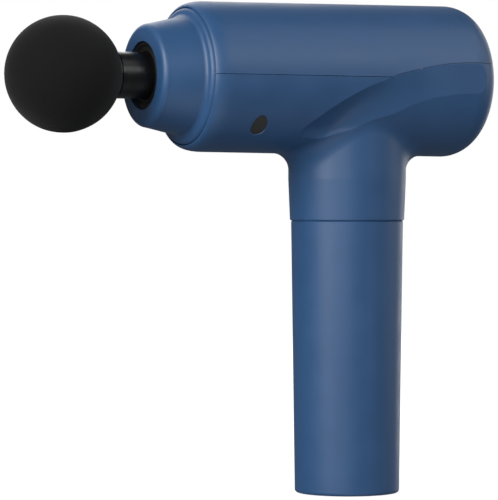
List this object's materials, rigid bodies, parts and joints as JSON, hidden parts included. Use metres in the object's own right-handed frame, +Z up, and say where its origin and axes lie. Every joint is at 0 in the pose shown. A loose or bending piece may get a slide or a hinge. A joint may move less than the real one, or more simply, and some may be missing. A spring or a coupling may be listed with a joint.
{
  "type": "massage gun",
  "caption": "Hand-held percussion massage gun: blue T-shaped body with a straight grip, a round touch display at the rear and a black foam ball head on a crank-driven plunger.",
  "frame": {"origin": "centre of the grip's flat foot, on the surface it stands on", "axes": "+Z up the grip; the barrel lies along X with the ball head towards -X and the display at +X"},
  "size_m": [0.2399, 0.0716, 0.2327],
  "materials": {
    "shell_blue": "satin",
    "foam_black": "matte",
    "sleeve_black": "gloss",
    "seal_black": "satin",
    "plug_grey": "matte",
    "stem_plastic": "satin",
    "cap_plastic": "satin",
    "switch_black": "satin",
    "chrome_trim": "polished",
    "display_glass": "gloss",
    "board_green": "satin",
    "digit_white": "satin",
    "cell_wrap": "satin",
    "holder_black": "matte",
    "nickel": "satin",
    "screw_steel": "satin",
    "frame_aluminium": "satin",
    "plunger_aluminium": "satin",
    "bushing_polymer": "satin",
    "bearing_steel": "polished",
    "bronze": "satin",
    "copper": "gloss",
    "lamination_steel": "satin",
    "magnet": "satin",
    "lead_red": "satin",
    "lead_black": "satin",
    "transistor_black": "satin",
    "capacitor_sleeve": "gloss"
  },
  "bodies": {
    "root": {"top_cover": "shell_blue", "lower_housing": "shell_blue", "nose_cone": "shell_blue", "grip_tube": "shell_blue", "base_cap": "cap_plastic", "nose_seal_ring": "seal_black", "screw_plugs": "plug_grey", "housing_screws": "screw_steel", "base_screws": "screw_steel", "charging_socket": "switch_black", "charging_pin": "nickel", "switch_frame": "switch_black", "battery_cells": "cell_wrap", "cell_holders": "holder_black", "nickel_strips": "nickel", "protection_board": "board_green", "drive_frame": "frame_aluminium", "vibration_grommets": "seal_black", "frame_screws": "screw_steel", "plunger_bushing": "bushing_polymer", "shaft_bearings": "bearing_steel", "motor_stator": "lamination_steel", "motor_windings": "copper", "terminal_board": "board_green", "control_board": "board_green", "board_screws": "screw_steel", "board_transistors": "transistor_black", "board_capacitor": "capacitor_sleeve", "display_bezel": "chrome_trim", "display_glass": "display_glass", "display_board": "board_green", "digit_modules": "digit_white", "touch_pads": "seal_black", "bezel_screws": "screw_steel", "charge_leads": "lead_red", "battery_leads": "lead_red", "motor_leads": "lead_black", "display_lead": "lead_black"},
    "plunger": {"plunger": "plunger_aluminium", "plunger_sleeve": "sleeve_black", "wrist_pin": "bearing_steel"},
    "conrod": {"connecting_rod": "frame_aluminium", "small_end_bush": "bronze", "big_end_bearing": "bearing_steel", "crank_pin": "bearing_steel"},
    "crank": {"crank_disc": "bearing_steel", "counterweight": "bronze", "motor_shaft": "bearing_steel", "rotor_bell": "lamination_steel", "rotor_magnets": "magnet"},
    "head": {"massage_ball": "foam_black", "head_stem": "stem_plastic", "stem_rings": "seal_black"},
    "rocker": {"switch_rocker": "switch_black"}
  },
  "joints": [
    {"name": "crank_spin", "type": "hinge", "parent": "root", "child": "crank", "pos_m": [0.012, 0, 0.1964], "axis": [0, 0, 1], "continuous": true},
    {"name": "plunger_stroke", "type": "slide", "parent": "root", "child": "plunger", "axis": [-1, 0, 0], "range_m": [-0.005, 0.005]},
    {"name": "conrod_swing", "type": "hinge", "parent": "plunger", "child": "conrod", "pos_m": [-0.02567, 0, 0.1964], "axis": [0, 0, 1], "range_deg": [-15.1, 0]},
    {"name": "head_pull", "type": "slide", "parent": "plunger", "child": "head", "axis": [-1, 0, 0], "range_m": [0, 0.025]},
    {"name": "switch_rock", "type": "hinge", "parent": "root", "child": "rocker", "pos_m": [0, 0.0102, 0.0049], "axis": [1, 0, 0], "range_deg": [0, 16]}
  ]
}
